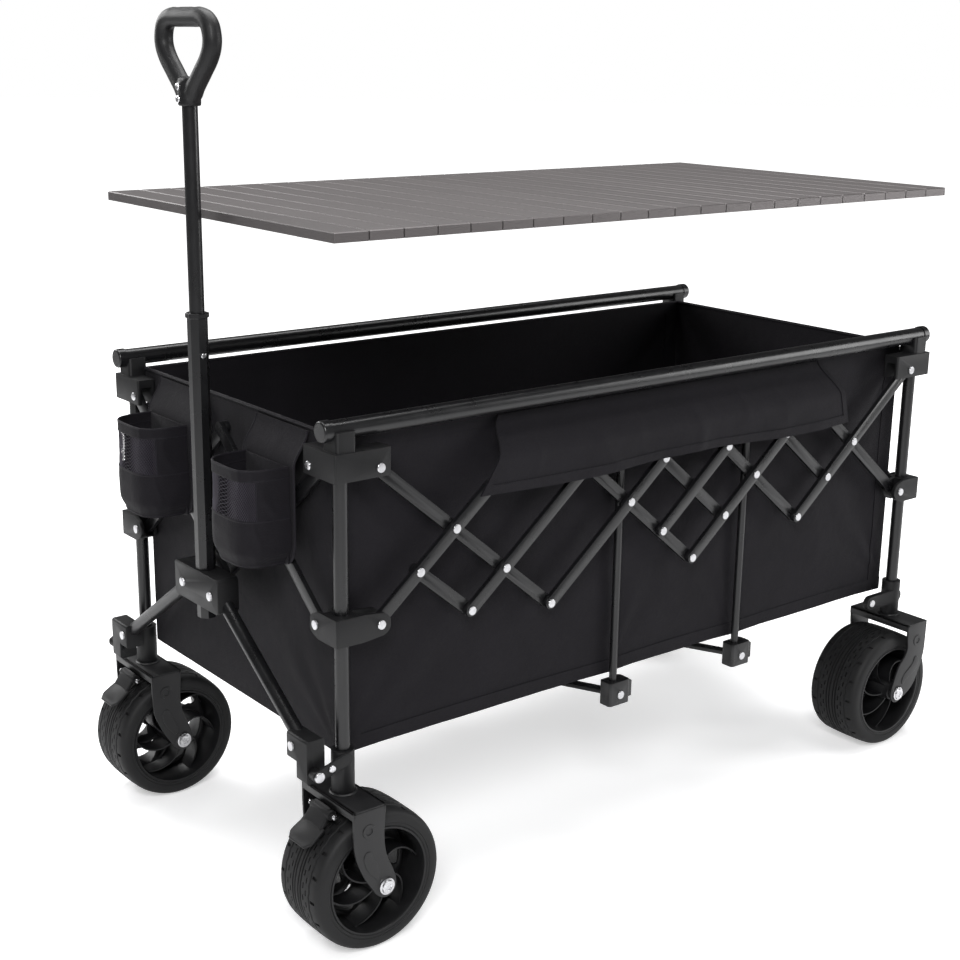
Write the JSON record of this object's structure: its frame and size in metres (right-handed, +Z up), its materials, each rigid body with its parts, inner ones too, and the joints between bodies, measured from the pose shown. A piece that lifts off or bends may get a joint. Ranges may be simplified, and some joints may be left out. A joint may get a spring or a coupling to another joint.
{
  "type": "folding camp wagon",
  "caption": "Four-wheeled folding camp wagon with side lattice frame, fabric basket, telescoping pull handle, bottle pockets and slatted table top.",
  "frame": {"origin": "middle of the wagon's box at ground level, in the plane between its left and right wheels", "axes": "-X towards the pull handle, +Y towards the wagon's right side, +Z up"},
  "size_m": [1.317, 0.715, 1.245],
  "materials": {
    "frame_steel": "satin black powder coat",
    "bracket_plastic": "fine grained black",
    "fabric": "woven black polyester",
    "fork_steel": "black powder coat",
    "bolt_steel": "bright zinc",
    "pedal_plastic": "grained black",
    "tyre": "black tread rubber",
    "rim_plastic": "satin black",
    "rail_steel": "satin black",
    "table_aluminium": "dark graphite anodised",
    "strap_webbing": "black webbing",
    "handle_steel": "satin black",
    "grip_plastic": "matt black"
  },
  "bodies": {
    "front_frame": {"front_posts": "frame_steel", "front_top_brackets": "bracket_plastic", "front_lower_sleeves": "bracket_plastic", "front_end_scissors": "frame_steel", "basket_front": "fabric", "pocket_left": "fabric", "pocket_right": "fabric", "basket_side_left": "fabric", "basket_side_right": "fabric", "basket_floor": "fabric"},
    "rear_frame": {"rear_posts": "frame_steel", "rear_top_brackets": "bracket_plastic", "rear_lower_brackets": "bracket_plastic", "rear_end_scissors": "frame_steel", "basket_rear": "fabric", "rear_forks": "fork_steel", "rear_axles": "bolt_steel"},
    "front_mid_slider": {"front_mid_brackets": "bracket_plastic"},
    "rear_mid_slider": {"rear_mid_brackets": "bracket_plastic"},
    "bar_a": {"lattice_bar_a": "frame_steel"},
    "bar_b": {"lattice_bar_b": "frame_steel"},
    "bar_c": {"lattice_bar_c": "frame_steel"},
    "bar_d": {"lattice_bar_d": "frame_steel"},
    "bar_e": {"lattice_bar_e": "frame_steel"},
    "bar_f": {"lattice_bar_f": "frame_steel"},
    "bar_g": {"lattice_bar_g": "frame_steel"},
    "bar_h": {"lattice_bar_h": "frame_steel"},
    "bar_i": {"lattice_bar_i": "frame_steel"},
    "bar_j": {"lattice_bar_j": "frame_steel"},
    "bar_k": {"lattice_bar_k": "frame_steel"},
    "bar_l": {"lattice_bar_l": "frame_steel"},
    "bar_m": {"lattice_bar_m": "frame_steel"},
    "mid_frame_front": {"mid_posts_front": "frame_steel", "mid_post_base_front": "frame_steel"},
    "mid_frame_rear": {"mid_posts_rear": "frame_steel", "mid_post_base_rear": "frame_steel"},
    "handle_yoke": {"yoke_blocks": "bracket_plastic", "yoke_struts": "handle_steel", "yoke_hub": "bracket_plastic", "handle_outer_tube": "handle_steel"},
    "lock_button": {"handle_lock_button": "bolt_steel"},
    "handle_slider": {"handle_inner_tube": "handle_steel", "handle_grip": "grip_plastic"},
    "caster_left": {"front_fork_left": "fork_steel"},
    "pedal_left": {"brake_pedal_left": "pedal_plastic"},
    "caster_right": {"front_fork_right": "fork_steel"},
    "pedal_right": {"brake_pedal_right": "pedal_plastic"},
    "wheel_front_left": {"tyre_front_left": "tyre", "rim_front_left": "rim_plastic"},
    "wheel_front_right": {"tyre_front_right": "tyre", "rim_front_right": "rim_plastic"},
    "wheel_rear_left": {"tyre_rear_left": "tyre", "rim_rear_left": "rim_plastic"},
    "wheel_rear_right": {"tyre_rear_right": "tyre", "rim_rear_right": "rim_plastic"},
    "support_rails": {"rails": "rail_steel"},
    "table_top": {"table_slats": "table_aluminium", "table_straps": "strap_webbing"}
  },
  "joints": [
    {"name": "frame_fold", "type": "slide", "parent": "front_frame", "child": "rear_frame", "axis": [-1, 0, 0], "range_m": [0, 0.85915], "deforming": ["basket_side_left", "basket_side_right", "basket_floor"]},
    {"name": "front_bracket_slide", "type": "slide", "parent": "front_frame", "child": "front_mid_slider", "axis": [0, 0, -1], "range_m": [-0.0005, 0.11712]},
    {"name": "rear_bracket_slide", "type": "slide", "parent": "rear_frame", "child": "rear_mid_slider", "axis": [0, 0, -1], "range_m": [-0.0005, 0.11712]},
    {"name": "bar_a_pivot", "type": "hinge", "parent": "front_frame", "child": "bar_a", "pos_m": [-0.5235, 0, 0.677], "axis": [0, 1, 0], "range_deg": [-0.2, 40.95]},
    {"name": "bar_b_pivot", "type": "hinge", "parent": "bar_a", "child": "bar_b", "pos_m": [-0.39425, 0, 0.5695], "axis": [0, 1, 0], "range_deg": [-81.7, 0.2]},
    {"name": "bar_d_pivot", "type": "hinge", "parent": "bar_a", "child": "bar_d", "pos_m": [-0.30546, 0, 0.49566], "axis": [0, 1, 0], "range_deg": [-81.7, 0.2]},
    {"name": "bar_e_pivot", "type": "hinge", "parent": "bar_a", "child": "bar_e", "pos_m": [-0.22046, 0, 0.42497], "axis": [0, 1, 0], "range_deg": [-81.7, 0.2]},
    {"name": "bar_c_pivot", "type": "hinge", "parent": "bar_b", "child": "bar_c", "pos_m": [-0.45478, 0, 0.51915], "axis": [0, 1, 0], "range_deg": [-0.2, 81.7]},
    {"name": "bar_i_pivot", "type": "hinge", "parent": "bar_d", "child": "bar_i", "pos_m": [-0.1535, 0, 0.62205], "axis": [0, 1, 0], "range_deg": [-0.2, 81.7]},
    {"name": "bar_f_pivot", "type": "hinge", "parent": "bar_i", "child": "bar_f", "pos_m": [0.001, 0, 0.49355], "axis": [0, 1, 0], "range_deg": [-81.7, 0.2]},
    {"name": "bar_h_pivot", "type": "hinge", "parent": "rear_frame", "child": "bar_h", "pos_m": [0.5705, 0, 0.677], "axis": [0, 1, 0], "range_deg": [-40.95, 0.2]},
    {"name": "bar_k_pivot", "type": "hinge", "parent": "bar_h", "child": "bar_k", "pos_m": [0.31096, 0, 0.46115], "axis": [0, 1, 0], "range_deg": [-0.2, 81.7]},
    {"name": "bar_l_pivot", "type": "hinge", "parent": "bar_h", "child": "bar_l", "pos_m": [0.37946, 0, 0.51812], "axis": [0, 1, 0], "range_deg": [-0.2, 81.7]},
    {"name": "bar_m_pivot", "type": "hinge", "parent": "bar_h", "child": "bar_m", "pos_m": [0.44124, 0, 0.5695], "axis": [0, 1, 0], "range_deg": [-0.2, 81.7]},
    {"name": "bar_g_pivot", "type": "hinge", "parent": "bar_k", "child": "bar_g", "pos_m": [0.2035, 0, 0.55053], "axis": [0, 1, 0], "range_deg": [-81.7, 0.2]},
    {"name": "bar_j_pivot", "type": "hinge", "parent": "bar_g", "child": "bar_j", "pos_m": [0.1365, 0, 0.4948], "axis": [0, 1, 0], "range_deg": [-0.2, 81.7]},
    {"name": "mid_frame_front_slide", "type": "slide", "parent": "front_frame", "child": "mid_frame_front", "axis": [-1, 0, 0], "range_m": [-0.0005, 0.35783]},
    {"name": "mid_frame_rear_slide", "type": "slide", "parent": "front_frame", "child": "mid_frame_rear", "axis": [-1, 0, 0], "range_m": [-0.0005, 0.57144]},
    {"name": "handle_tilt", "type": "hinge", "parent": "front_frame", "child": "handle_yoke", "pos_m": [-0.6205, 0, 0.267], "axis": [0, -1, 0], "range_deg": [0, 85]},
    {"name": "handle_extend", "type": "slide", "parent": "handle_yoke", "child": "handle_slider", "axis": [0, 0, 1], "range_m": [-0.262, 0]},
    {"name": "lock_button_press", "type": "slide", "parent": "handle_yoke", "child": "lock_button", "axis": [0, 1, 0], "range_m": [0, 0.0013], "stiffness_N_per_m": 400, "springref_m": -0.001},
    {"name": "caster_left_swivel", "type": "hinge", "parent": "front_frame", "child": "caster_left", "pos_m": [-0.5715, -0.288, 0.226], "axis": [0, 0, 1], "continuous": true},
    {"name": "brake_left_press", "type": "hinge", "parent": "caster_left", "child": "pedal_left", "pos_m": [-0.6045, -0.288, 0.208], "axis": [0, -1, 0], "range_deg": [0, 13]},
    {"name": "caster_right_swivel", "type": "hinge", "parent": "front_frame", "child": "caster_right", "pos_m": [-0.5715, 0.288, 0.226], "axis": [0, 0, 1], "continuous": true},
    {"name": "brake_right_press", "type": "hinge", "parent": "caster_right", "child": "pedal_right", "pos_m": [-0.6045, 0.288, 0.208], "axis": [0, -1, 0], "range_deg": [0, 13]},
    {"name": "wheel_front_left_spin", "type": "hinge", "parent": "caster_left", "child": "wheel_front_left", "pos_m": [-0.5455, -0.288, 0.103], "axis": [0, 1, 0], "continuous": true},
    {"name": "wheel_front_right_spin", "type": "hinge", "parent": "caster_right", "child": "wheel_front_right", "pos_m": [-0.5455, 0.288, 0.103], "axis": [0, 1, 0], "continuous": true},
    {"name": "wheel_rear_left_spin", "type": "hinge", "parent": "rear_frame", "child": "wheel_rear_left", "pos_m": [0.5555, -0.288, 0.103], "axis": [0, 1, 0], "continuous": true},
    {"name": "wheel_rear_right_spin", "type": "hinge", "parent": "rear_frame", "child": "wheel_rear_right", "pos_m": [0.5555, 0.288, 0.103], "axis": [0, 1, 0], "continuous": true},
    {"name": "rails_lift", "type": "slide", "parent": "front_frame", "child": "support_rails", "axis": [0, 0, 1], "range_m": [0, 0.12]},
    {"name": "table_lift", "type": "slide", "parent": "support_rails", "child": "table_top", "axis": [0, 0, 1], "range_m": [-0.2235, 0]}
  ],
  "couplings": [
    {"joint": "front_bracket_slide", "follows": "frame_fold", "ratio": 0.13574},
    {"joint": "rear_bracket_slide", "follows": "frame_fold", "ratio": 0.13574},
    {"joint": "bar_a_pivot", "follows": "frame_fold", "rad_per_m": 0.82782},
    {"joint": "bar_b_pivot", "follows": "frame_fold", "rad_per_m": -1.6556},
    {"joint": "bar_d_pivot", "follows": "frame_fold", "rad_per_m": -1.6556},
    {"joint": "bar_e_pivot", "follows": "frame_fold", "rad_per_m": -1.6556},
    {"joint": "bar_c_pivot", "follows": "frame_fold", "rad_per_m": 1.6556},
    {"joint": "bar_i_pivot", "follows": "frame_fold", "rad_per_m": 1.6556},
    {"joint": "bar_f_pivot", "follows": "frame_fold", "rad_per_m": -1.6556},
    {"joint": "bar_h_pivot", "follows": "frame_fold", "rad_per_m": -0.82782},
    {"joint": "bar_k_pivot", "follows": "frame_fold", "rad_per_m": 1.6556},
    {"joint": "bar_l_pivot", "follows": "frame_fold", "rad_per_m": 1.6556},
    {"joint": "bar_m_pivot", "follows": "frame_fold", "rad_per_m": 1.6556},
    {"joint": "bar_g_pivot", "follows": "frame_fold", "rad_per_m": -1.6556},
    {"joint": "bar_j_pivot", "follows": "frame_fold", "rad_per_m": 1.6556},
    {"joint": "mid_frame_front_slide", "follows": "frame_fold", "ratio": 0.4159},
    {"joint": "mid_frame_rear_slide", "follows": "frame_fold", "ratio": 0.66453}
  ]
}
